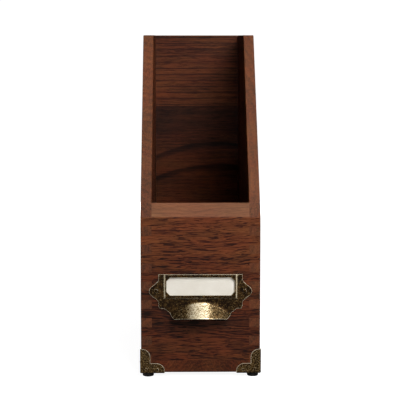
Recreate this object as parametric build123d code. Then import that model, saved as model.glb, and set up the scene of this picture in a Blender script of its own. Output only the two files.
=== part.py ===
"""Open-topped wooden file box in the style of a card catalog drawer.

Two side boards with a sloping top edge, a low bevelled front board, a tall back glued up from two
boards and a bottom board, finger-jointed at the corners. A brass pull with a label frame is pinned to
the front, brass corner brackets are nailed to the bottom corners, and rubber feet stand under them.

Everything is first drawn in box coordinates: X across, Y from the front face to the back, Z up from
the underside of the boards. At the end it moves so that the origin is on the floor, under the middle.
"""

from build123d import *

import os
from math import cos, radians, sin, tan

# Wooden box, millimetres
WIDTH = 108.5  # over the side boards
DEPTH = 260.0  # front face to back face
HEIGHT = 305.7  # underside to the flat top
FRONT_HEIGHT = 142.7  # underside to the front board's outer top edge
SLOPE_RUN = 132.5  # from the front face back to the start of the flat top
SIDE_THICKNESS = 10.0
FRONT_THICKNESS = 10.0
BACK_THICKNESS = 9.5
BOTTOM_THICKNESS = 11.0
FRONT_FINGERS = 17  # finger widths in the height of the front face
UPPER_BACK_FINGERS = 9  # finger widths in the height of the upper back board
ARRIS = 0.5  # chamfer sanded on every outer edge and round the rim

# Brass corner brackets: three equal L-shaped faces
BRACKET_SHEET = 0.9
BRACKET_LEG = 21.5  # from the corner of the wood to the end of a leg
BRACKET_LEG_WIDTH = 8.3
BRACKET_LEG_ROUND = 7.2
BRACKET_FOLD_RADIUS = 1.0
BRACKET_NOTCH_RADIUS = 0.6
OUTER_NAIL = (15.4, 2.6)  # along the box edge, above the underside
FRONT_INNER_NAIL = (4.7, 3.2)
SIDE_INNER_NAIL = (4.7, 8.6)  # higher than the front one, so that their shanks pass
NAIL_HEAD_RADIUS = 1.1
NAIL_HEAD_HEIGHT = 0.5
NAIL_SHANK_RADIUS = 0.5
NAIL_LENGTH = 7.0

# Rubber feet
FOOT_RADIUS = 5.2
FOOT_HEIGHT = 3.7
FOOT_INSET = 6.4  # foot centre from the two wood faces
FOOT_ROUND = 1.2

# Stamped brass pull with label frame; heights are above the underside of the boards
PULL_SHEET = 0.8
PULL_TOP = 90.7
PLATE_HALF_WIDTH = 38.0
LOBE_HALF_WIDTH = 46.6
LOBE_HEIGHT = 75.25  # height of the tips of the side lobes
LOBE_SLOPE = 50.0  # steepest part of the lobe's outline, degrees from vertical
LOBE_TIP_RADIUS = 4.5
LOBE_ROOT_RADIUS = 3.5
PLATE_FOOT_HEIGHT = 59.3  # lower corners of the plate
PLATE_FOOT_RADIUS = 2.4
PLATE_FOOT_INNER = 33.0  # where the plate's lower edge turns down towards the cup
PLATE_FOOT_FALL = 4.3  # how far it falls from there to the cup
FRAME_HALF_WIDTH = 32.9
FRAME_BOTTOM = 68.7
FRAME_ROUND = 0.7
CHANNEL_DEPTH = 1.0  # room for the card between the frame and the wood
WINDOW_HALF_WIDTH = 30.8
WINDOW_BOTTOM = 71.5
WINDOW_TOP = 87.8
WINDOW_CORNER = 3.2
CUP_HALF_WIDTH = 27.6
CUP_TOP = 66.0  # where the cup leaves the plate, in the middle
CUP_RADIUS = 50.0
CUP_TILT = 45.0  # the cup's wall stands out from the plate at this angle
CUP_RIM = 48.9  # the rim's plane meets the wood at this height
CUP_RIM_RISE = 0.249  # rise of the rim's plane for each unit outwards
CUP_CORNER_BOTTOM = 50.2
CUP_CORNER_RADIUS = 6.0
PLATE_EDGE = 0.2
PIN_HALF_SPACING = 40.2
PIN_HEIGHT = 75.5
PIN_HEAD_RADIUS = 1.7
PIN_HEAD_HEIGHT = 0.7
PIN_SHANK_RADIUS = 0.6
PIN_LENGTH = 7.8
PILOT_CLEARANCE = 0.05

# Label card
CARD_THICKNESS = 0.35
CARD_STAND_OFF = 0.3  # from the wood
CARD_SIDE_GAP = 0.4
CARD_BOTTOM_GAP = 0.1
CARD_TOP = 89.7

# Worked out from the above
SLOPE = (HEIGHT - FRONT_HEIGHT) / SLOPE_RUN
FINGER = FRONT_HEIGHT / FRONT_FINGERS
BACK_JOINT = HEIGHT - UPPER_BACK_FINGERS * FINGER
INNER_HALF_WIDTH = WIDTH / 2 - SIDE_THICKNESS
BACK_INNER = DEPTH - BACK_THICKNESS
BEYOND = 20.0  # how far cutting solids run past the faces that they cut
TOUCH = 0.1  # tolerance when telling one edge from another
HANGING = (Align.CENTER, Align.CENTER, Align.MAX)  # a cylinder that goes down from its plane

FRONT_WALL = Plane(origin=(0, 0, 0), x_dir=(1, 0, 0), z_dir=(0, -1, 0))
SIDE_WALL = Plane(origin=(0, 0, 0), x_dir=(0, 0, 1), z_dir=(-1, 0, 0))
UNDERSIDE = Plane(origin=(0, 0, 0), x_dir=(0, 1, 0), z_dir=(0, 0, -1))


def block(x0, x1, y0, y1, z0, z1):
    """A box between two corners."""
    size = Box(x1 - x0, y1 - y0, z1 - z0, align=(Align.MIN, Align.MIN, Align.MIN))
    return Pos(x0, y0, z0) * size


def prism(points, half_width):
    """An outline in Y and Z, extruded to both sides of the middle plane."""
    return extrude(Plane.YZ * Polygon(*points, align=None), amount=half_width, both=True)


# ---------------------------------------------------------------- wooden boards


def box_form():
    """The whole box as one piece, with its arrises taken off. The boards are cut out of it."""
    outside = prism([(0, 0), (DEPTH, 0), (DEPTH, HEIGHT), (SLOPE_RUN, HEIGHT), (0, FRONT_HEIGHT)], WIDTH / 2)
    inside = block(
        -INNER_HALF_WIDTH, INNER_HALF_WIDTH, FRONT_THICKNESS, BACK_INNER, BOTTOM_THICKNESS, HEIGHT + BEYOND
    )
    form = outside - inside
    return chamfer(form.edges().filter_by(is_arris), length=ARRIS)


def is_arris(edge):
    """True for the outer edges and the rim, not for the inside corners or the break of the slope."""
    middle = edge.center()
    direction = edge.tangent_at(0)
    in_cavity = abs(middle.X) < WIDTH / 2 - TOUCH and TOUCH < middle.Y < DEPTH - TOUCH
    vertical = abs(direction.Z) > 1 - TOUCH
    on_floor = abs(middle.Z - BOTTOM_THICKNESS) < TOUCH
    at_break = abs(direction.X) > 1 - TOUCH and abs(middle.Y - SLOPE_RUN) < TOUCH
    return not (in_cavity and (vertical or on_floor)) and not at_break


def fingers(top, y0, y1, floor):
    """The corner tabs of a front or back board: every second finger, counted from height top."""
    count = int((top - floor) / FINGER) + 1
    tabs = []
    for k in range(0, count, 2):
        high = top - k * FINGER
        low = high - FINGER
        if low > floor:
            tabs.append(block(INNER_HALF_WIDTH, WIDTH / 2 + BEYOND, y0, y1, low, high))
            tabs.append(block(-WIDTH / 2 - BEYOND, -INNER_HALF_WIDTH, y0, y1, low, high))
    return tabs


def front_zone():
    """Space of the front board: between the sides, with tabs through them at both corners."""
    core = block(
        -INNER_HALF_WIDTH, INNER_HALF_WIDTH, -BEYOND, FRONT_THICKNESS, BOTTOM_THICKNESS, HEIGHT + BEYOND
    )
    tabs = fingers(FRONT_HEIGHT, -BEYOND, FRONT_THICKNESS, BOTTOM_THICKNESS)
    return core + tabs


def back_zone(low, high):
    """Space of one back board, from height low to height high."""
    core = block(-INNER_HALF_WIDTH, INNER_HALF_WIDTH, BACK_INNER, DEPTH + BEYOND, low, high)
    tabs = fingers(HEIGHT, BACK_INNER, DEPTH + BEYOND, BOTTOM_THICKNESS)
    own_tabs = [tab for tab in tabs if low < tab.center().Z < high]
    return core + own_tabs


def bottom_zone():
    """Space of the bottom board, which runs between the sides from the front face to the back face."""
    return block(-INNER_HALF_WIDTH, INNER_HALF_WIDTH, -BEYOND, DEPTH + BEYOND, -BEYOND, BOTTOM_THICKNESS)


def side_zone(sign):
    """Space of a side board, before the other boards' tabs are taken out of it."""
    inner = sign * INNER_HALF_WIDTH
    outer = sign * (WIDTH / 2 + BEYOND)
    x0, x1 = sorted((inner, outer))
    return block(x0, x1, -BEYOND, DEPTH + BEYOND, -BEYOND, HEIGHT + BEYOND)


# ---------------------------------------------------------------- nails and pins


def nail(head_radius, head_height, shank_radius, length):
    """A domed nail standing on the XY plane, its shank going down from there."""
    dome_radius = (head_radius**2 + head_height**2) / (2 * head_height)
    dome = Pos(0, 0, head_height - dome_radius) * Sphere(dome_radius)
    head = dome & block(-head_radius, head_radius, -head_radius, head_radius, 0, head_height)
    shank = Cylinder(shank_radius, length, align=HANGING)
    return head + shank


def pilot(shank_radius, length):
    """The hole for a nail's shank, a little larger all round."""
    return Cylinder(shank_radius + PILOT_CLEARANCE, length + PILOT_CLEARANCE, align=HANGING)


def bracket_nail_seats():
    """Planes of one bracket's nails: the wood's corner at the origin, the wood in positive X, Y and Z."""
    seats = []
    for along, up in (OUTER_NAIL, FRONT_INNER_NAIL):
        seats.append(Plane(origin=(along, -BRACKET_SHEET, up), z_dir=(0, -1, 0)))
    for along, up in (OUTER_NAIL, SIDE_INNER_NAIL):
        seats.append(Plane(origin=(-BRACKET_SHEET, along, up), z_dir=(-1, 0, 0)))
    return seats


def pull_pin_seats():
    """Planes of the two pins that hold the pull."""
    return [
        Plane(origin=(sign * PIN_HALF_SPACING, -PULL_SHEET, PIN_HEIGHT), z_dir=(0, -1, 0)) for sign in (-1, 1)
    ]


def bracket_nails():
    """One bracket's nails, as separate solids."""
    one = nail(NAIL_HEAD_RADIUS, NAIL_HEAD_HEIGHT, NAIL_SHANK_RADIUS, NAIL_LENGTH)
    return [seat * one for seat in bracket_nail_seats()]


def bracket_pilots():
    """The holes that one bracket's nails need in the bracket and the boards."""
    return [seat * pilot(NAIL_SHANK_RADIUS, NAIL_LENGTH) for seat in bracket_nail_seats()]


def pull_pins():
    """The two round-headed pins of the pull, as separate solids."""
    one = nail(PIN_HEAD_RADIUS, PIN_HEAD_HEIGHT, PIN_SHANK_RADIUS, PIN_LENGTH)
    return [seat * one for seat in pull_pin_seats()]


def pull_pilots():
    """The holes that the pull's pins need in the plate and the front board."""
    return [seat * pilot(PIN_SHANK_RADIUS, PIN_LENGTH) for seat in pull_pin_seats()]


# ---------------------------------------------------------------- corner brackets and feet


def bracket_face():
    """One L-shaped face: legs along both box edges, each ending in a quarter round."""
    s, leg, wide = BRACKET_SHEET, BRACKET_LEG, BRACKET_LEG_WIDTH
    outline = Polygon((-s, -s), (leg, -s), (leg, wide), (wide, wide), (wide, leg), (-s, leg), align=None)
    for end in ((leg, wide), (wide, leg)):
        outline = fillet(outline.vertices().sort_by_distance(end)[0], BRACKET_LEG_ROUND)
    return fillet(outline.vertices().sort_by_distance((wide, wide))[0], BRACKET_NOTCH_RADIUS)


def corner_bracket():
    """Three L-shaped faces folded round the wood's corner, which is at the origin."""
    face = extrude(bracket_face(), amount=BRACKET_SHEET)
    body = FRONT_WALL * face + SIDE_WALL * face + UNDERSIDE * face
    hull = block(-BRACKET_SHEET, WIDTH, -BRACKET_SHEET, WIDTH, -BRACKET_SHEET, WIDTH)
    hull = fillet(hull.edges().sort_by_distance((-BRACKET_SHEET,) * 3)[0:3], BRACKET_FOLD_RADIUS)
    return (body & hull) - bracket_pilots()


def rubber_foot():
    """A round foot with a soft lower edge, hung under the bracket's lower face."""
    foot = Cylinder(FOOT_RADIUS, FOOT_HEIGHT, align=HANGING)
    foot = fillet(foot.edges().sort_by(Axis.Z)[0], FOOT_ROUND)
    return Pos(FOOT_INSET, FOOT_INSET, -BRACKET_SHEET) * foot


def at_corner(shape, right, rear):
    """Moves a shape from the front left corner at the origin to one of the box's bottom corners."""
    placed = Pos(-WIDTH / 2, 0, 0) * shape
    if right:
        placed = mirror(placed, about=Plane.YZ)
    if rear:
        placed = mirror(placed, about=Plane.XZ.offset(-DEPTH / 2))
    return placed


# ---------------------------------------------------------------- pull, label frame and card


def plate_outline():
    """The flat plate, with a lobe at each side for a pin."""
    rise = (LOBE_HALF_WIDTH - PLATE_HALF_WIDTH) / tan(radians(LOBE_SLOPE))
    tip = (LOBE_TIP_RADIUS + TOUCH) * tan(radians(LOBE_SLOPE / 2))
    right = [
        (PLATE_HALF_WIDTH, PULL_TOP),
        (PLATE_HALF_WIDTH, LOBE_HEIGHT + tip + rise),
        (LOBE_HALF_WIDTH, LOBE_HEIGHT + tip),
        (LOBE_HALF_WIDTH, LOBE_HEIGHT - tip),
        (PLATE_HALF_WIDTH, LOBE_HEIGHT - tip - rise),
        (PLATE_HALF_WIDTH, PLATE_FOOT_HEIGHT),
        (PLATE_FOOT_INNER, PLATE_FOOT_HEIGHT),
        (CUP_HALF_WIDTH, PLATE_FOOT_HEIGHT - PLATE_FOOT_FALL),
    ]
    left = [(-x, z) for x, z in right]
    outline = Polygon(*reversed(right), *left, align=None)
    radii = [LOBE_ROOT_RADIUS, LOBE_TIP_RADIUS, LOBE_TIP_RADIUS, LOBE_ROOT_RADIUS, PLATE_FOOT_RADIUS]
    for (x, z), radius in zip(right[1:], radii):
        for sign in (-1, 1):
            outline = fillet(outline.vertices().sort_by_distance((sign * x, z))[0], radius)
    return outline


def label_window():
    """The window of the label frame, with its corners cut off, as a solid that cuts it."""
    window = Rectangle(2 * WINDOW_HALF_WIDTH, WINDOW_TOP - WINDOW_BOTTOM)
    window = chamfer(window.vertices(), WINDOW_CORNER)
    window = Pos(0, (WINDOW_TOP + WINDOW_BOTTOM) / 2) * window
    return extrude(FRONT_WALL * window, amount=BEYOND)


def label_frame():
    """The raised frame that holds the card, as a block with rounded bends."""
    front = -CHANNEL_DEPTH - PULL_SHEET
    frame = block(-FRAME_HALF_WIDTH, FRAME_HALF_WIDTH, front, 0, FRAME_BOTTOM, PULL_TOP)
    bends = frame.faces().sort_by(Axis.Y)[0].edges().sort_by(Axis.Z)[0:3]
    return fillet(bends, FRAME_ROUND)


def card_channel():
    """The space behind the frame, open at the top, where the card slides."""
    inner = FRAME_HALF_WIDTH - PULL_SHEET
    return block(-inner, inner, -CHANNEL_DEPTH, BEYOND, FRAME_BOTTOM + PULL_SHEET, PULL_TOP + BEYOND)


def cup_cylinder(radius):
    """A long cylinder, tilted so that its wall leaves the plate at the cup's top and runs outwards."""
    tilt = radians(CUP_TILT)
    axis_height = CUP_TOP - CUP_RADIUS / sin(tilt)
    seat = Plane(origin=(0, 0, axis_height), x_dir=(1, 0, 0), z_dir=(0, -sin(tilt), -cos(tilt)))
    return seat * Cylinder(radius, 6 * CUP_RADIUS)


def cup_space():
    """Everything in front of the wood that is inside the cup's outline and above its rim."""
    outline = Rectangle(2 * CUP_HALF_WIDTH, CUP_TOP - CUP_CORNER_BOTTOM, align=(Align.CENTER, Align.MIN))
    outline = fillet(outline.vertices().sort_by(Axis.Y)[0:2], CUP_CORNER_RADIUS)
    outline = Pos(0, CUP_CORNER_BOTTOM) * outline
    space = extrude(FRONT_WALL * outline, amount=BEYOND)
    wedge = [(0, CUP_RIM), (-BEYOND, CUP_RIM + BEYOND * CUP_RIM_RISE), (-BEYOND, PULL_TOP), (0, PULL_TOP)]
    return space & prism(wedge, WIDTH / 2)


def label_pull():
    """Plate, label frame and finger cup, stamped from one sheet."""
    plate = extrude(FRONT_WALL * plate_outline(), amount=PULL_SHEET)
    plate = chamfer(plate.faces().sort_by(Axis.Y)[0].edges(), PLATE_EDGE)
    cup = cup_space() & cup_cylinder(CUP_RADIUS)
    body = plate + label_frame() + cup
    body = body - card_channel() - label_window() - cup_cylinder(CUP_RADIUS - PULL_SHEET)
    return body - pull_pilots()


def label_card():
    """The card, standing in the channel a little off the wood."""
    half = FRAME_HALF_WIDTH - PULL_SHEET - CARD_SIDE_GAP
    bottom = FRAME_BOTTOM + PULL_SHEET + CARD_BOTTOM_GAP
    return block(-half, half, -CARD_STAND_OFF - CARD_THICKNESS, -CARD_STAND_OFF, bottom, CARD_TOP)


# ---------------------------------------------------------------- the whole box


def all_pieces():
    """Every sub-part by name, in box coordinates."""
    corners = {"front_left": (0, 0), "front_right": (1, 0), "rear_left": (0, 1), "rear_right": (1, 1)}
    pilots = [at_corner(hole, *place) for place in corners.values() for hole in bracket_pilots()]
    form = box_form()
    front = front_zone()
    upper_back = back_zone(BACK_JOINT, HEIGHT + BEYOND)
    lower_back = back_zone(BOTTOM_THICKNESS, BACK_JOINT)
    pieces = {
        "front_board": (form & front) - pull_pilots(),
        "upper_back_board": form & upper_back,
        "lower_back_board": form & lower_back,
        "bottom_board": (form & bottom_zone()) - pilots,
        "label_pull": label_pull(),
        "label_card": label_card(),
        "pull_pins": Compound(pull_pins()),
    }
    for name, sign in (("left_side_board", -1), ("right_side_board", 1)):
        pieces[name] = (form & side_zone(sign)) - front - upper_back - lower_back - pilots
    for name, place in corners.items():
        pieces[name + "_bracket"] = at_corner(corner_bracket(), *place)
        pieces[name + "_nails"] = Compound([at_corner(one, *place) for one in bracket_nails()])
        pieces[name + "_foot"] = at_corner(rubber_foot(), *place)
    return pieces


def main():
    pieces = all_pieces()
    boxes = [piece.bounding_box() for piece in pieces.values()]
    middle = (min(box.min.Y for box in boxes) + max(box.max.Y for box in boxes)) / 2
    floor = min(box.min.Z for box in boxes)
    os.makedirs("parts", exist_ok=True)
    for name, piece in pieces.items():
        solids = [Pos(0, -middle, -floor) * solid for solid in piece.solids()]
        export_step(Compound(solids), f"parts/{name}.step")
    print(f"front face at y = {-middle:.3f}, underside of the boards at z = {-floor:.3f}")


main()
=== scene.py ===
"""Looks for the desktop file box: walnut boards, aged brass fittings, rubber feet, studio and camera.

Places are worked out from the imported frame. The object, the lights and the camera are in metres. The
patterns of the materials and the sheet of the label pull are in millimetres, because grain, speckle and
sheet are that small.
"""

import math

import bmesh
import bpy
from mathutils import Matrix, Vector
from mathutils.geometry import delaunay_2d_cdt


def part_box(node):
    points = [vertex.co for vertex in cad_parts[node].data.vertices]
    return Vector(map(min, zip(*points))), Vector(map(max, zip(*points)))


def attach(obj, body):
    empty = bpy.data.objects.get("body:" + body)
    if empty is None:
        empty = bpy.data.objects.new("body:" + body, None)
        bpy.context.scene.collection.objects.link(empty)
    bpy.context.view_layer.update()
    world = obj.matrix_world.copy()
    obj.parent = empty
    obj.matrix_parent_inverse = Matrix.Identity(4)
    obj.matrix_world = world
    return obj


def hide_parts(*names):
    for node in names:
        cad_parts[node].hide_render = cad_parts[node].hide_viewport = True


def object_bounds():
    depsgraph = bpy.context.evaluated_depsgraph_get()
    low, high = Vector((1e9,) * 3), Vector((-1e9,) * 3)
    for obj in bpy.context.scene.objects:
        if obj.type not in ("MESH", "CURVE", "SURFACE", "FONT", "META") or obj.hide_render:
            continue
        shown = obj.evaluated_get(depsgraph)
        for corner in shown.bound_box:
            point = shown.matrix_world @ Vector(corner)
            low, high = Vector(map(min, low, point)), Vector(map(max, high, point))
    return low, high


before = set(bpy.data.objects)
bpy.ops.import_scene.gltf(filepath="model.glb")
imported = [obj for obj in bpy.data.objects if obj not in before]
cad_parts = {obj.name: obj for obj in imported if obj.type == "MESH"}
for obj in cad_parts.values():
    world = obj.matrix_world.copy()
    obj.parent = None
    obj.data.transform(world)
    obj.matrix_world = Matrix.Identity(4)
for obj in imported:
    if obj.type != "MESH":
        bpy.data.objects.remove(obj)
cad_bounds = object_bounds()

MM = 0.001
FRONT_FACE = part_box("front_board")[0].y
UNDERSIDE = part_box("bottom_board")[0].z
FAINT_SHEEN = 0.12  # reflection of oiled wood and dull patina, where 0.5 is that of clear varnish
MATT_SHEEN = 0.25  # reflection of rubber and card


# ---------------------------------------------------------------- node trees

SEED_STEP = (7.31, 3.17, 5.93)  # how far one step of a pattern's seed moves it along each axis


class Graph:
    """A material's node tree, with short calls for the nodes that it is built from."""

    def __init__(self, name):
        self.material = bpy.data.materials.new(name)
        self.material.use_nodes = True
        self.tree = self.material.node_tree
        self.tree.nodes.clear()

    def node(self, kind, inputs, **settings):
        """A node with its settings made, and each named input linked to a socket or set to a value."""
        made = self.tree.nodes.new(kind)
        for name, value in settings.items():
            setattr(made, name, value)
        for name, value in inputs.items():
            if isinstance(value, bpy.types.NodeSocket):
                self.tree.links.new(value, made.inputs[name])
            else:
                made.inputs[name].default_value = value
        return made

    def math(self, operation, first, second=0.0):
        return self.node("ShaderNodeMath", {0: first, 1: second}, operation=operation).outputs[0]

    def vector(self, operation, first, second):
        return self.node("ShaderNodeVectorMath", {0: first, 1: second}, operation=operation).outputs[0]

    def add(self, first, second):
        return self.math("ADD", first, second)

    def scale(self, value, factor):
        return self.math("MULTIPLY", value, factor)

    def smooth(self, value, low, high):
        """0 below low, 1 above high, eased between them. Low may be the larger one."""
        inputs = {"Value": value, "From Min": low, "From Max": high}
        return self.node("ShaderNodeMapRange", inputs, interpolation_type="SMOOTHSTEP").outputs["Result"]

    def span(self, value, low, high):
        """A value from 0 to 1, spread evenly from low to high."""
        inputs = {"Value": value, "To Min": low, "To Max": high}
        return self.node("ShaderNodeMapRange", inputs).outputs["Result"]

    def split(self, vector):
        return self.node("ShaderNodeSeparateXYZ", {"Vector": vector}).outputs

    def join(self, x, y, z):
        return self.node("ShaderNodeCombineXYZ", {"X": x, "Y": y, "Z": z}).outputs[0]

    def stretched(self, vector, lengths, seed):
        """The vector divided by a length along each axis, moved to a place of its own by the seed."""
        inputs = {
            "Vector": vector,
            "Scale": [1 / length for length in lengths],
            "Location": [seed * step for step in SEED_STEP],
        }
        return self.node("ShaderNodeMapping", inputs).outputs[0]

    def noise(self, vector, lengths, seed, detail=2.0, roughness=0.5, colour=False):
        """Noise with features of about the given lengths along the vector's axes."""
        inputs = {
            "Vector": self.stretched(vector, lengths, seed),
            "Scale": 1.0,
            "Detail": detail,
            "Roughness": roughness,
        }
        return self.node("ShaderNodeTexNoise", inputs).outputs["Color" if colour else "Fac"]

    def mix(self, factor, first, second, blend="MIX"):
        """Two colours mixed. Each is a socket or three numbers."""
        made = self.node("ShaderNodeMix", {"Factor": factor}, data_type="RGBA", blend_type=blend)
        for name, value in (("A", first), ("B", second)):
            socket = next(s for s in made.inputs if s.name == name and s.type == "RGBA")
            if isinstance(value, bpy.types.NodeSocket):
                self.tree.links.new(value, socket)
            else:
                socket.default_value = (*value, 1.0)
        return next(s for s in made.outputs if s.type == "RGBA")

    def ramp(self, value, stops):
        """Colours by value: stops is a list of (place, colour)."""
        made = self.node("ShaderNodeValToRGB", {"Fac": value})
        elements = made.color_ramp.elements
        while len(elements) < len(stops):
            elements.new(0.5)
        for element, (place, colour) in zip(elements, stops):
            element.position = place
            element.color = (*colour, 1.0)
        return made.outputs["Color"]

    def place(self):
        """The point on the object in the row frame, in millimetres."""
        here = self.node("ShaderNodeTexCoord", {}).outputs["Object"]
        return self.node("ShaderNodeVectorMath", {0: here, "Scale": 1 / MM}, operation="SCALE").outputs[0]

    def near_edge(self, radius):
        """1 along the sharp edges of the piece, falling to 0 within the radius, in millimetres."""
        rounded = self.node("ShaderNodeBevel", {"Radius": radius * MM}, samples=6).outputs["Normal"]
        flat = self.node("ShaderNodeNewGeometry", {}).outputs["True Normal"]
        same = self.node("ShaderNodeVectorMath", {0: rounded, 1: flat}, operation="DOT_PRODUCT")
        return self.smooth(same.outputs["Value"], 0.995, 0.85)

    def bump(self, height, depth):
        """A normal from a height, where a height of 1 stands for depth millimetres."""
        inputs = {"Height": height, "Distance": depth * MM, "Strength": 1.0}
        return self.node("ShaderNodeBump", inputs).outputs["Normal"]

    def finish(self, **inputs):
        """The Principled shader on the output. Returns the material."""
        shader = self.node("ShaderNodeBsdfPrincipled", inputs)
        self.node("ShaderNodeOutputMaterial", {"Surface": shader.outputs[0]})
        return self.material


# ---------------------------------------------------------------- walnut

# Colours from the darkest latewood to the palest streak; the palest also serves the painted sheen of edges
# and slopes.
WALNUT = [
    (0.00, (0.0070, 0.0017, 0.0005)),
    (0.28, (0.0320, 0.0074, 0.0021)),
    (0.55, (0.0900, 0.0222, 0.0062)),
    (0.78, (0.1420, 0.0405, 0.0120)),
    (0.94, (0.1600, 0.0860, 0.0420)),
]
WALNUT_RED = (1.04, 0.92, 0.90)
WALNUT_OCHRE = (0.98, 1.08, 1.02)
# the pale sand colour of the painted sheen on edges, slopes and ends
WALNUT_PAINTED_SHEEN = (0.165, 0.130, 0.080)

# Lengths of the patterns in millimetres: along the grain, across it and through it.
SWAY_WAVES = (130, 46, 46)
RIPPLE_WAVES = (24, 9, 9)
TONE_CLOUDS = (85, 26, 26)
HUE_CLOUDS = (50, 14, 14)
FIBRES = (16, 0.45, 0.45)
PORES = (5.5, 0.42, 0.42)
STREAK_WIDTH = 1.6
DASH_WIDTH = 0.75

BOW_RUN = 100  # the length of grain over which look["bow"] is measured
LATE_FULL, LATE_END = 0.88, 0.9  # shares of a ring at which its late wood is darkest, and starts to end
MIDDLE = 0.5  # the value about which a pattern of 0 to 1 swings


def drifting(g, straight, look):
    """Wood coordinates that wander across the grain, in a slow sway with a short ripple on it."""
    wood = straight
    for waves, reach, shift in ((SWAY_WAVES, look["sway"], 0), (RIPPLE_WAVES, look["ripple"], 8)):
        drift = g.noise(straight, waves, look["seed"] + shift, 2.0, 0.5, colour=True)
        drift = g.vector("SUBTRACT", drift, (MIDDLE, MIDDLE, MIDDLE))
        drift = g.vector("MULTIPLY", drift, (0, reach, reach))
        wood = g.vector("ADD", wood, drift)
    return wood


def growth(g, along, wood, look):
    """The dark late wood of each ring, and how far the wood has turned from dark to pale, each 0 to 1."""
    _, wood_across, wood_through = g.split(wood)
    bow = g.math("POWER", g.scale(g.add(along, -look["crest"]), 1 / BOW_RUN), 2.0)
    curved = g.add(wood_across, g.scale(bow, look["bow"]))
    sideways = g.math("POWER", g.add(curved, -look["pith"]), 2.0)
    distance = g.math("SQRT", g.add(sideways, g.math("POWER", g.add(wood_through, look["depth"]), 2.0)))
    ring = g.math("FRACT", g.scale(distance, 1 / look["ring"]))
    late = g.math("MULTIPLY", g.smooth(ring, look["late_from"], LATE_FULL), g.smooth(ring, 1.0, LATE_END))
    centre, reach = look["figure"]
    off_figure = g.math("ABSOLUTE", g.add(distance, -centre))
    late = g.math("MULTIPLY", late, g.smooth(off_figure, reach, 0.6 * reach))
    return late, g.smooth(distance, *look["heartwood"])


def walnut(name, axes, look):
    """Walnut cut from a trunk of growth rings.

    axes gives the row axes along the grain, across the board's face and through its thickness.
    The rings are circles about a pith that runs along the grain, so a face shows streaks or arches, and
    an end shows arcs. look says where the board was cut from and how strong its patterns are.
    """
    g = Graph(name)
    seed = look["seed"]
    xyz = dict(zip("XYZ", g.split(g.place())))
    along, across, through = (xyz[axis] for axis in axes)
    wood = drifting(g, g.join(along, across, through), look)
    late, heart = growth(g, along, wood, look)

    tone = g.noise(wood, TONE_CLOUDS, seed + 1, 3.0, 0.55)
    streak = g.noise(wood, (look["run"], STREAK_WIDTH, STREAK_WIDTH), seed + 2, 3.0, 0.62)
    fibre = g.noise(wood, FIBRES, seed + 3, 2.0, 0.6)
    mark = g.noise(wood, (look["dash_long"], DASH_WIDTH, DASH_WIDTH), seed + 4, 2.0, 0.5)
    dash = g.smooth(g.add(mark, g.scale(g.add(tone, -MIDDLE), -0.25)), 0.49, 0.60)
    pore = g.smooth(g.noise(wood, PORES, seed + 5, 1.0, 0.5), 0.58, 0.68)
    facing = dict(zip("XYZ", g.split(g.node("ShaderNodeTexCoord", {}).outputs["Normal"])))
    end_grain = g.smooth(g.math("ABSOLUTE", facing[axes[0]]), 0.6, 0.9)
    on_face = g.smooth(g.math("ABSOLUTE", facing[axes[2]]), 0.8, 0.95)
    dash = g.math("MULTIPLY", dash, g.span(on_face, 0.3, 1.0))

    value = look["tone"]
    for part, strength in (
        (g.add(tone, -MIDDLE), look["blotch"]),
        (g.add(heart, -MIDDLE), look["heart"]),
        (g.add(streak, -MIDDLE), look["streak"]),
        (g.add(fibre, -MIDDLE), 0.30),
        (late, -look["late"]),
        (dash, -look["dash"]),
        (pore, -0.14),
        (end_grain, look["end"]),
        # faces darker than edges, slopes and ends, so these read paler: a painted sheen
        (on_face, -look["painted_edge_sheen"]),
        (g.near_edge(0.6), -0.06),
    ):
        value = g.add(g.scale(part, strength), value)
    hue = g.smooth(g.noise(wood, HUE_CLOUDS, seed + 6, 2.0), 0.3, 0.7)
    colour = g.mix(1.0, g.ramp(value, WALNUT), g.mix(hue, WALNUT_RED, WALNUT_OCHRE), "MULTIPLY")
    # edges, slopes and ends turned towards a pale sand colour: a painted sheen
    colour = g.mix(g.span(on_face, look["painted_sheen_tint"], 0.0), colour, WALNUT_PAINTED_SHEEN)

    height = g.add(g.scale(fibre, 0.35), g.scale(g.add(dash, pore), -0.5))
    roughness = g.add(g.scale(g.add(dash, pore), 0.10), g.span(streak, 0.48, 0.62))
    return g.finish(
        **{
            "Base Color": colour,
            "Roughness": roughness,
            "Specular IOR Level": FAINT_SHEEN,
            "Normal": g.bump(height, 0.07),
        }
    )


# How a board was cut, and how strong its patterns are. Lengths are millimetres in the row frame.
#   seed                  moves every pattern to a place of its own
#   pith, depth           place of the trunk's middle across the board, and through it with its sign turned
#   crest, bow            where along the grain the rings arch, and how far they bend in 100 mm
#   ring, late_from       width of a ring, and the share of it after which its dark late wood begins
#   figure                distance from the pith, and half the width, of the zone whose late wood shows
#   heartwood, heart      distances from the pith at which wood turns from dark to pale, and how much
#   sway, ripple          how far the grain wanders, slowly and in short waves
#   run, dash_long        lengths of the streaks and of the short dark dashes
#    tone                  the board's own lightness; for the two back boards partly painted shade of the box's inside
#   blotch, streak, dash, late   strength of the soft clouds, the streaks, the dashes and the late wood
#    painted_edge_sheen    how much paler edges, slopes and ends are than faces: a painted sheen
#    end                   what end grain adds to that
#    painted_sheen_tint    how far edges, slopes and ends turn to a pale sand colour: painted sheen too
FLAT_SAWN = {
    "seed": 1.0, "tone": 0.60, "blotch": 0.6, "streak": 0.8, "run": 70.0,
    "dash": 0.34, "dash_long": 13.0, "painted_edge_sheen": 0.04, "painted_sheen_tint": 0.06, "end": -0.05,
    "late": 0.10, "late_from": 0.15, "ring": 6.5, "figure": (0.0, 1000.0),
    "pith": 0.0, "depth": 60.0, "bow": 0.0, "crest": 0.0, "sway": 14.0, "ripple": 2.0,
    "heart": 0.1, "heartwood": (40.0, 140.0),
}
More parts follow.
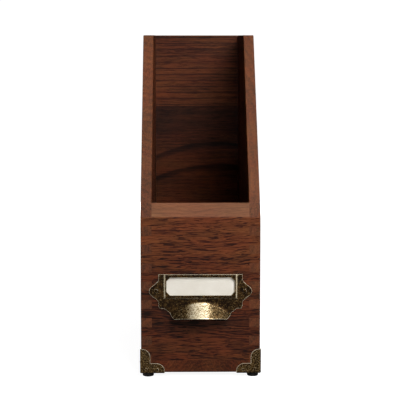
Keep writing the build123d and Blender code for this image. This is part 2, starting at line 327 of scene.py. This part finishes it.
FRONT = {
    "seed": 2.0, "tone": 0.68, "blotch": 0.3, "streak": 0.6, "run": 40.0,
    "dash": 0.48, "dash_long": 15.0, "painted_edge_sheen": 0.10, "painted_sheen_tint": 0.15,
    "pith": 50.0, "depth": 34.0, "sway": 16.0, "ripple": 3.0,
    "heart": 0.17, "heartwood": (91.0, 118.0),
}
LEFT_SIDE = {"seed": 11.0, "tone": 0.56, "blotch": 0.35, "end": -0.02, "pith": 120.0, "depth": 90.0}
RIGHT_SIDE = {"seed": 23.0, "tone": 0.55, "blotch": 0.35, "end": -0.02, "pith": 190.0, "depth": 110.0}
# The two back boards' low tones are partly their own darker wood and partly painted shade of the box's
# inside.
UPPER_BACK = {
    "seed": 37.0, "tone": 0.47, "blotch": 0.4, "streak": 0.7, "run": 220.0, "dash": 0.16,
    "late": 0.26, "late_from": 0.7, "ring": 5.5, "pith": 520.0, "depth": 20.0, "sway": 3.0, "ripple": 0.6,
}
LOWER_BACK = {
    "seed": 41.0, "tone": 0.34, "blotch": 0.4, "streak": 0.6, "dash": 0.1,
    "late": 0.30, "late_from": 0.6, "ring": 24.0, "figure": (490.0, 34.0),
    "pith": -307.0, "depth": -126.0, "bow": 33.0, "crest": 20.0, "sway": 6.0,
    "heart": 0.21, "heartwood": (535.0, 500.0),
}
BOTTOM = {
    "seed": 53.0, "tone": 0.58, "dash": 0.1, "end": -0.08, "painted_sheen_tint": 0.0,
    "ring": 3.5, "pith": 10.0, "depth": 14.0,
}
BOARDS = {
    "front_board": ("XZY", FRONT),
    "left_side_board": ("YZX", LEFT_SIDE),
    "right_side_board": ("YZX", RIGHT_SIDE),
    "upper_back_board": ("XZY", UPPER_BACK),
    "lower_back_board": ("XZY", LOWER_BACK),
    "bottom_board": ("YXZ", BOTTOM),
}


# ---------------------------------------------------------------- brass, rubber and paper

PATINA = (0.008, 0.0038, 0.0013)
PATINA_OLIVE = (0.070, 0.036, 0.010)
RUBBED_BRASS = (0.46, 0.30, 0.115)
BARE_BRASS = (0.66, 0.59, 0.43)
RUBBER_BLACK, RUBBER_DUST = (0.005, 0.004, 0.003), (0.014, 0.011, 0.008)
PAPER_SHADE, PAPER_PALE = (0.625, 0.585, 0.51), (0.685, 0.65, 0.58)

CUP_SHINE = 1.4  # how far left of the pull's middle the cup's worn, painted-highlit band lies, in millimetres
CUP_SHINE_EDGE, CUP_SHINE_FULL = 14.0, 5.0  # distances from there between which the shine grows


def aged_brass(name, seed, wear, edge_reach=0.8, cup=0.0):
    """Antiqued brass: dark and speckled in the field, rubbed bare on edges and where fingers pull.

    wear is how much of the brass shows through the patina away from the edges, edge_reach is the width
    of the bare edges in millimetres, and cup is how bare the finger cup is in its middle band. The edges,
    the frame's worn bends and the cup's band are real wear with a painted highlight on it: the edges and
    bends turn less metallic so their pale brass shows bright whatever they reflect, and the cup's band is
    placed where the light's reflection falls. Only a piece with a cup has the two attributes that say
    where its cup and its worn, highlit frame are.
    """
    g = Graph(name)
    here = g.place()
    clouds = g.noise(here, (5, 5, 5), seed, 3.0, 0.6)
    speck = g.noise(here, (1.1, 1.1, 1.1), seed + 1, 2.0, 0.7)
    grit = g.noise(here, (0.35, 0.35, 0.35), seed + 2, 1.0, 0.6)
    speckle = g.add(g.scale(g.add(speck, -MIDDLE), 2.4), g.scale(g.add(grit, -MIDDLE), 0.8))
    edge = g.near_edge(edge_reach)
    rubbed_and_highlit = edge
    if cup:
        on_cup = g.node("ShaderNodeAttribute", {}, attribute_name="on_cup").outputs["Fac"]
        worn_and_highlit = g.node("ShaderNodeAttribute", {}, attribute_name="worn_and_highlit").outputs["Fac"]
        # the cup's band: finger wear with a painted highlight, placed where the light's reflection falls
        aside = g.math("ABSOLUTE", g.add(g.split(here)[0], CUP_SHINE))
        middle = g.span(g.smooth(aside, CUP_SHINE_EDGE, CUP_SHINE_FULL), 0.3, 1.0)
        # the frame's bends join the edges: worn, and given a painted highlight
        edge = g.math("MAXIMUM", edge, worn_and_highlit)
        rubbed_and_highlit = g.math("MAXIMUM", edge, g.scale(g.math("MULTIPLY", on_cup, middle), cup))
    bare = g.add(g.add(rubbed_and_highlit, wear), g.scale(speckle, 0.7))
    bare = g.math("MINIMUM", g.math("MAXIMUM", bare, 0.0), 1.0)
    field = g.mix(g.smooth(g.add(clouds, g.scale(speckle, 0.4)), 0.35, 0.85), PATINA, PATINA_OLIVE)
    metal = g.mix(g.smooth(bare, 0.3, 0.8), RUBBED_BRASS, BARE_BRASS)
    return g.finish(
        **{
            "Base Color": g.mix(g.smooth(bare, 0.08, 0.85), field, metal),
            # edges turn less metallic, so their pale brass shows bright: a painted highlight on real wear
            "Metallic": g.add(g.span(bare, 0.7, 1.0), g.scale(edge, -0.7)),
            "Roughness": g.add(g.span(bare, 0.5, 0.26), g.scale(edge, 0.12)),
            "Specular IOR Level": FAINT_SHEEN,
            "Normal": g.bump(g.add(speck, g.scale(grit, 0.4)), 0.04),
        }
    )


def black_rubber():
    """Soft moulded rubber, dusty and a little shiny."""
    g = Graph("black_rubber")
    here = g.place()
    dust = g.noise(here, (2.5, 2.5, 2.5), 3, 3.0, 0.6)
    grain = g.noise(here, (0.25, 0.25, 0.25), 5, 1.0)
    return g.finish(
        **{
            "Base Color": g.mix(g.smooth(dust, 0.35, 0.75), RUBBER_BLACK, RUBBER_DUST),
            "Roughness": g.span(dust, 0.45, 0.7),
            "Specular IOR Level": MATT_SHEEN,
            "Normal": g.bump(grain, 0.02),
        }
    )


def label_paper():
    """Uncoated card stock, slightly warm, with fibres and a faint tooth."""
    g = Graph("label_paper")
    here = g.place()
    fibres = g.noise(here, (1.6, 1.6, 0.35), 7, 3.0, 0.6)
    clouds = g.noise(here, (14, 14, 9), 9, 2.0)
    tint = g.add(g.scale(fibres, 0.45), g.scale(clouds, 0.55))
    return g.finish(
        **{
            "Base Color": g.mix(g.smooth(tint, 0.3, 0.7), PAPER_SHADE, PAPER_PALE),
            "Roughness": g.span(fibres, 0.75, 0.9),
            "Specular IOR Level": MATT_SHEEN,
            "Normal": g.bump(fibres, 0.02),
        }
    )


def paint(node, material):
    """Gives a CAD node one material."""
    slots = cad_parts[node].data.materials
    slots.clear()
    slots.append(material)


for node, (axes, look) in BOARDS.items():
    paint(node, walnut("walnut_" + node, axes, {**FLAT_SAWN, **look}))
corner_brass = aged_brass("aged_brass_corners", 1, 0.18)
nail_brass = aged_brass("aged_brass_nails", 9, 0.0, edge_reach=0.2)
rubber = black_rubber()
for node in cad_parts:
    if node.endswith("_bracket"):
        paint(node, corner_brass)
    if node.endswith(("_nails", "pull_pins")):
        paint(node, nail_brass)
    if node.endswith("_foot"):
        paint(node, rubber)
paint("label_card", label_paper())


# ---------------------------------------------------------------- the label pull, stamped from sheet

PULL_LOW, PULL_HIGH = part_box("label_pull")

# Millimetres across from the pull's middle and up from the underside of the boards.
PLATE_TOP = (PULL_HIGH.z - UNDERSIDE) / MM
PLATE_HALF = 38.0
LOBE_HALF = PULL_HIGH.x / MM
LOBE_HEIGHT = PLATE_TOP - 15.45
LOBE_ANGLE = 50.0  # steepest part of the lobe's outline, degrees from vertical
LOBE_TIP_ROUND = 4.5
LOBE_ROOT_ROUND = 3.5
CORNER_ROUND = 0.3
FOOT_HEIGHT = PLATE_TOP - 31.4
FOOT_ROUND = 2.4
FOOT_INNER = 33.0
FOOT_FALL = 4.3
FRAME_HALF = 33.0
FRAME_FOOT = PLATE_TOP - 22.0
WINDOW_HALF = 30.8
WINDOW_LOW, WINDOW_HIGH = PLATE_TOP - 19.2, PLATE_TOP - 2.9
WINDOW_CUT = 3.2
CUP_HALF = 27.6
CUP_ROOT = PLATE_TOP - 24.7
CUP_CURVE = 50.0  # radius of the cylinder that the cup's wall is a part of
CUP_TILT = math.radians(45)  # lean of that cylinder's axis; cup_rim counts on 45 degrees
CUP_FOOT = PLATE_TOP - 40.5
CUP_ROUND = 6.0
CUP_STEPS = 64  # points along the cup's free edge
RIM_HEIGHT = PLATE_TOP - 41.8  # height at which the rim's plane meets the wood
RIM_RISE = 0.249  # how far that plane rises for each millimetre out of the wood

SHEET = 0.8
STEP = 1.0  # how far the label frame stands above the plate
BEND = 0.45  # half the width of the frame's bends
ROOT_BLEND = 1.3  # softness of the bend at the cup's root
EDGE_ROUND = 0.22  # width of the rounding along the sheet's cut edges
MESH_SIZE = 0.75
WELD = 0.05  # points of the mesh that lie closer than this become one


def rounded(corners, radii):
    """A closed outline through the corners, each rounded to its radius, in points along its arcs."""
    points = []
    for i, (corner, radius) in enumerate(zip(corners, radii)):
        here, before, after = (Vector(corners[(i + k) % len(corners)]) for k in (0, -1, 1))
        if not radius:
            points.append(here)
            continue
        back, ahead = (before - here).normalized(), (after - here).normalized()
        half = back.angle(ahead) / 2
        centre = here + (back + ahead).normalized() * radius / math.sin(half)
        start = here + back * radius / math.tan(half) - centre
        turn = start.angle_signed(here + ahead * radius / math.tan(half) - centre)
        steps = max(2, math.ceil(abs(turn) * radius / MESH_SIZE))
        for k in range(steps + 1):
            c, s = math.cos(-turn * k / steps), math.sin(-turn * k / steps)
            points.append(centre + Vector((start.x * c - start.y * s, start.x * s + start.y * c)))
    return points


def divided(points, closed=True):
    """The line through the points with its long runs divided to the mesh size."""
    ends = points[1:] + points[:1] if closed else points[1:]
    out = []
    for here, after in zip(points, ends):
        steps = max(1, round((after - here).length / MESH_SIZE))
        out += [here.lerp(after, k / steps) for k in range(steps)]
    return out if closed else out + points[-1:]


def cup_out(x, z):
    """How far the cup's wall stands out of the wood at a place on the front, in millimetres."""
    axis = CUP_ROOT - CUP_CURVE / math.sin(CUP_TILT)
    reach = math.sqrt(CUP_CURVE**2 - x * x)
    return (reach - (z - axis) * math.sin(CUP_TILT)) / math.cos(CUP_TILT)


def cup_share(x, z):
    """0 on the plate, 1 where the cup stands a millimetre out of it, eased between."""
    t = min(1.0, max(0.0, cup_out(x, z) - SHEET)) if abs(x) < CUP_HALF + ROOT_BLEND else 0.0
    return t * t * (3 - 2 * t)


def cup_rim(x):
    """Height of the cup's free edge: its rim plane, or the rounded corner where that is higher.

    The wall leans 45 degrees, so at height z it stands cup_out(x, 0) - z out of the wood.
    """
    at_zero = cup_out(x, 0.0)
    rim = (RIM_HEIGHT + RIM_RISE * at_zero) / (1 + RIM_RISE)
    beyond = max(0.0, abs(x) - (CUP_HALF - CUP_ROUND))
    corner = CUP_FOOT + CUP_ROUND - math.sqrt(max(0.0, CUP_ROUND**2 - beyond**2))
    return max(rim, corner)


def pull_outline():
    """The pull's whole outline as seen from the front, anticlockwise from the lower right."""
    rise = (LOBE_HALF - PLATE_HALF) / math.tan(math.radians(LOBE_ANGLE))
    tip = LOBE_TIP_ROUND * math.tan(math.radians(LOBE_ANGLE / 2))
    right = [
        ((CUP_HALF, FOOT_HEIGHT - FOOT_FALL), 0),
        ((FOOT_INNER, FOOT_HEIGHT), 0),
        ((PLATE_HALF, FOOT_HEIGHT), FOOT_ROUND),
        ((PLATE_HALF, LOBE_HEIGHT - tip - rise), LOBE_ROOT_ROUND),
        ((LOBE_HALF, LOBE_HEIGHT - tip), LOBE_TIP_ROUND),
        ((LOBE_HALF, LOBE_HEIGHT + tip), LOBE_TIP_ROUND),
        ((PLATE_HALF, LOBE_HEIGHT + tip + rise), LOBE_ROOT_ROUND),
        ((PLATE_HALF, PLATE_TOP), CORNER_ROUND),
    ]
    left = [((-x, z), radius) for (x, z), radius in reversed(right)]
    plate = rounded(*zip(*(right + left)))
    sweep = [-math.cos(math.pi * k / CUP_STEPS) * CUP_HALF for k in range(1, CUP_STEPS)]
    return divided(plate + [Vector((x, cup_rim(x))) for x in sweep])


def window_outline():
    """The label window's outline: a rectangle with its corners cut."""
    half, cut = WINDOW_HALF, WINDOW_CUT
    right = [
        (half - cut, WINDOW_LOW),
        (half, WINDOW_LOW + cut),
        (half, WINDOW_HIGH - cut),
        (half - cut, WINDOW_HIGH),
    ]
    left = [(-x, z) for x, z in reversed(right)]
    return divided([Vector(point) for point in right + left])


def frame_bend(x, z):
    """0 on the plate, 1 on the raised label frame, and between on the frame's bends."""
    inside = min(FRAME_HALF - abs(x), z - FRAME_FOOT)
    return min(1.0, max(0.0, inside / (2 * BEND) + 0.5))


def sheet_out(x, z):
    """How far the sheet's front stands out of the wood: plate, raised frame and cup with soft bends."""
    t = frame_bend(x, z)
    flat = SHEET + STEP * t * t * (3 - 2 * t)
    if abs(x) > CUP_HALF + ROOT_BLEND:
        return flat
    cup = cup_out(x, z)
    blend = max(0.0, 1 - abs(flat - cup) / ROOT_BLEND)
    return max(flat, cup) + ROOT_BLEND * blend * blend / 4


def frame_lines():
    """Lines along the foot, the middle and the head of the frame's bends, for the mesh to follow."""
    lines = []
    for offset in (-BEND, 0.0, BEND):
        half, foot = FRAME_HALF - offset, FRAME_FOOT + offset
        corners = ((-half, PLATE_TOP), (-half, foot), (half, foot), (half, PLATE_TOP))
        lines.append(divided([Vector(corner) for corner in corners], closed=False))
    return lines


def inner_points(lines):
    """A triangular net of points over the sheet, none too close to the lines."""
    cells = {}
    for point in [point for line in lines for point in line]:
        cells.setdefault((round(point.x), round(point.y)), []).append(point)
    row = MESH_SIZE * math.sqrt(3) / 2
    columns = math.ceil(LOBE_HALF / MESH_SIZE)
    points = []
    for j in range(math.ceil((PLATE_TOP - CUP_FOOT) / row)):
        for i in range(-columns, columns + 1):
            point = Vector(((i + 0.5 * (j % 2)) * MESH_SIZE, CUP_FOOT + j * row))
            near = [
                other
                for dx in (-1, 0, 1)
                for dz in (-1, 0, 1)
                for other in cells.get((round(point.x) + dx, round(point.y) + dz), [])
            ]
            if all((point - other).length > 0.6 * MESH_SIZE for other in near):
                points.append(point)
    return points


def in_window(x, z):
    """Whether a place on the front is in the label window."""
    across, up = WINDOW_HALF - abs(x), min(z - WINDOW_LOW, WINDOW_HIGH - z)
    return min(across, up) > 0 and across + up > WINDOW_CUT


def pull_sheet():
    """The front surface of the pull's sheet, as a mesh of near equal triangles.

    Its attributes say where the label frame's bends are worn and carry a painted highlight, and where the
    finger cup is, for the brass.
    """
    lines = [pull_outline(), window_outline(), *frame_lines()]
    points = inner_points(lines)
    edges = []
    for k, line in enumerate(lines):
        start, closed = len(points), k < 2
        points += line
        edges += [(i, i + 1) for i in range(start, len(points) - 1)]
        edges += [(len(points) - 1, start)] if closed else []
    flat, _, faces, *_ = delaunay_2d_cdt(points, edges, [], 2, 1e-5)
    work = bmesh.new()
    corners = [work.verts.new((p.x, -sheet_out(p.x, p.y), p.y)) for p in flat]
    for face in faces:
        middle = sum((corners[k].co for k in face), Vector()) / 3
        if not in_window(middle.x, middle.z):
            work.faces.new([corners[k] for k in face])
    bmesh.ops.delete(work, geom=[vert for vert in work.verts if not vert.link_faces], context="VERTS")
    bmesh.ops.remove_doubles(work, verts=work.verts, dist=WELD)
    if sum(face.normal.y * face.calc_area() for face in work.faces) > 0:
        bmesh.ops.reverse_faces(work, faces=work.faces)
    work.transform(Matrix.Translation((0, FRONT_FACE, UNDERSIDE)) @ Matrix.Scale(MM, 4))
    mesh = bpy.data.meshes.new("pull_sheet")
    work.to_mesh(mesh)
    work.free()
    mesh.shade_smooth()
    for name in ("worn_and_highlit", "on_cup"):
        mesh.attributes.new(name, "FLOAT", "POINT")
    for i, vertex in enumerate(mesh.vertices):
        x, z = vertex.co.x / MM, (vertex.co.z - UNDERSIDE) / MM
        # the frame's bends, worn and given a painted highlight of the bend catching light
        on_side = abs(x) > FRAME_HALF - 2 * BEND and z > FRAME_FOOT
        mesh.attributes["worn_and_highlit"].data[i].value = frame_bend(x, z) if on_side else 0.0
        mesh.attributes["on_cup"].data[i].value = cup_share(x, z)
    return mesh


def label_pull():
    """The pull as one bent sheet with softened edges, in the place of the CAD node."""
    mesh = pull_sheet()
    piece = bpy.data.objects.new("pull_sheet", mesh)
    bpy.context.scene.collection.objects.link(piece)
    thick = piece.modifiers.new("sheet", "SOLIDIFY")
    thick.thickness = SHEET * MM
    thick.offset = -1
    soft = piece.modifiers.new("softened_edges", "BEVEL")
    soft.width = EDGE_ROUND * MM
    soft.segments = 2
    soft.limit_method = "ANGLE"
    soft.angle_limit = math.radians(60)
    mesh.materials.append(aged_brass("aged_brass_pull", 4, 0.0, edge_reach=0.6, cup=0.62))
    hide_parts("label_pull")
    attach(piece, "box")


label_pull()


# ---------------------------------------------------------------- studio and camera

# Brightness of the white floor under the box and of the studio round it, and the distances from the
# box's middle in millimetres between which the one turns into the other.
FLOOR_WHITE, STUDIO_WHITE = 0.93, 1.02
FLOOR_NEAR, FLOOR_FAR = 250.0, 900.0
AIR_GLOW = 0.02  # the faint light that comes from all round

KEY_DISTANCE = 1.4
BANK_DISTANCE = 1.3
STRIP_DISTANCE = 1.2
STRIP_GAP = 0.03  # how much shorter the strips are than the box
FILL_HEIGHT = 0.06

CAMERA_DISTANCE = 1.2
CAMERA_LEFT = 0.0185
CAMERA_HEIGHT = 0.3036
CAMERA_TIPPED, CAMERA_TURNED = 6.90, 0.86  # degrees down, and to the right
LENS = 120.97


def studio():
    """A white bowl that reads as an even floor and background and throws no light on the box."""
    radius, wall, steps, sides = 6.0, 2.5, 12, 96
    profile = [(0.0, 0.0), (radius - wall, 0.0)]
    for i in range(1, steps + 1):
        turn = math.pi / 2 * i / steps
        profile.append((radius - wall + wall * math.sin(turn), wall - wall * math.cos(turn)))
    profile.append((radius, 2 * radius))
    turns = [2 * math.pi * k / sides for k in range(sides)]
    rings = [[(r * math.cos(turn), r * math.sin(turn), z) for turn in turns] for r, z in profile[1:]]
    points = [(0.0, 0.0, 0.0)] + [point for ring in rings for point in ring]
    faces = [(0, 1 + k, 1 + (k + 1) % sides) for k in range(sides)]
    for j in range(len(rings) - 1):
        low = 1 + j * sides
        for k in range(sides):
            after = (k + 1) % sides
            faces.append((low + k, low + sides + k, low + sides + after, low + after))
    mesh = bpy.data.meshes.new("studio_bowl")
    mesh.from_pydata(points, [], faces)
    mesh.shade_smooth()
    bowl = bpy.data.objects.new("studio_bowl", mesh)
    bpy.context.scene.collection.objects.link(bowl)
    g = Graph("studio_white")
    away = g.node("ShaderNodeVectorMath", {0: g.place()}, operation="LENGTH").outputs["Value"]
    glow = g.span(g.smooth(away, FLOOR_NEAR, FLOOR_FAR), FLOOR_WHITE, STUDIO_WHITE)
    mesh.materials.append(
        g.finish(
            **{
                "Base Color": (0.3, 0.3, 0.3, 1.0),
                "Roughness": 1.0,
                "Specular IOR Level": 0.0,
                "Emission Color": (1.0, 1.0, 1.0, 1.0),
                "Emission Strength": glow,
            }
        )
    )
    bowl.visible_diffuse = False
    bowl.visible_glossy = False
    bowl.visible_shadow = False


def soft_light(name, aim, azimuth, elevation, distance, width, height, radiance):
    """A softbox that looks at a point.

    Azimuth 0 is in front of the box, 90 to the right of it and -90 to the left, seen from the front.
    """
    data = bpy.data.lights.new(name, "AREA")
    data.shape = "RECTANGLE"
    data.size, data.size_y = width, height
    data.energy = radiance * math.pi * width * height
    lamp = bpy.data.objects.new(name, data)
    bpy.context.scene.collection.objects.link(lamp)
    turn, up = math.radians(azimuth), math.radians(elevation)
    out = Vector((math.sin(turn) * math.cos(up), -math.cos(turn) * math.cos(up), math.sin(up)))
    lamp.location = aim + out * distance
    lamp.rotation_euler = out.to_track_quat("Z", "Y").to_euler()
    lamp.visible_camera = False


def lighting():
    """A key from the front right, a bank over the pull, a low front fill, and strips at sides and back.

    The strips and the fill are level and no higher than the box, so little of their light falls into it.
    """
    low, high = cad_bounds
    middle = (low + high) / 2
    cup = Vector((0.0, FRONT_FACE, PULL_LOW.z))
    foot = Vector((0.0, 0.0, FILL_HEIGHT))
    soft_light("key_bank", middle, 28, 43, KEY_DISTANCE, 0.75, 1.0, 14.0)
    soft_light("top_bank", cup, -53, 82.3, BANK_DISTANCE, 0.3, 0.3, 2.6)
    soft_light("front_fill", foot, 0, 0, BANK_DISTANCE, 1.6, 0.11, 8)
    strip = high.z - low.z - STRIP_GAP
    strips = (("left_strip", -105, 9), ("right_strip", 105, 6), ("back_strip", 180, 10))
    for name, azimuth, radiance in strips:
        soft_light(name, middle, azimuth, 0, STRIP_DISTANCE, 1.0, strip, radiance)
    world = bpy.data.worlds.new("studio_air")
    world.use_nodes = True
    background = world.node_tree.nodes["Background"]
    background.inputs["Color"].default_value = (1.0, 1.0, 1.0, 1.0)
    background.inputs["Strength"].default_value = AIR_GLOW
    bpy.context.scene.world = world
    bpy.context.scene.view_settings.view_transform = "Standard"


def camera():
    """A long lens level with the top of the box, a little left of its middle, tipped down."""
    data = bpy.data.cameras.new("camera")
    data.sensor_width = 36.0
    data.lens = LENS
    data.clip_start = 0.05
    view = bpy.data.objects.new("camera", data)
    bpy.context.scene.collection.objects.link(view)
    view.location = (-CAMERA_LEFT, FRONT_FACE - CAMERA_DISTANCE, UNDERSIDE + CAMERA_HEIGHT)
    view.rotation_euler = (math.radians(90 - CAMERA_TIPPED), 0.0, math.radians(-CAMERA_TURNED))
    bpy.context.scene.camera = view


studio()
lighting()
camera()
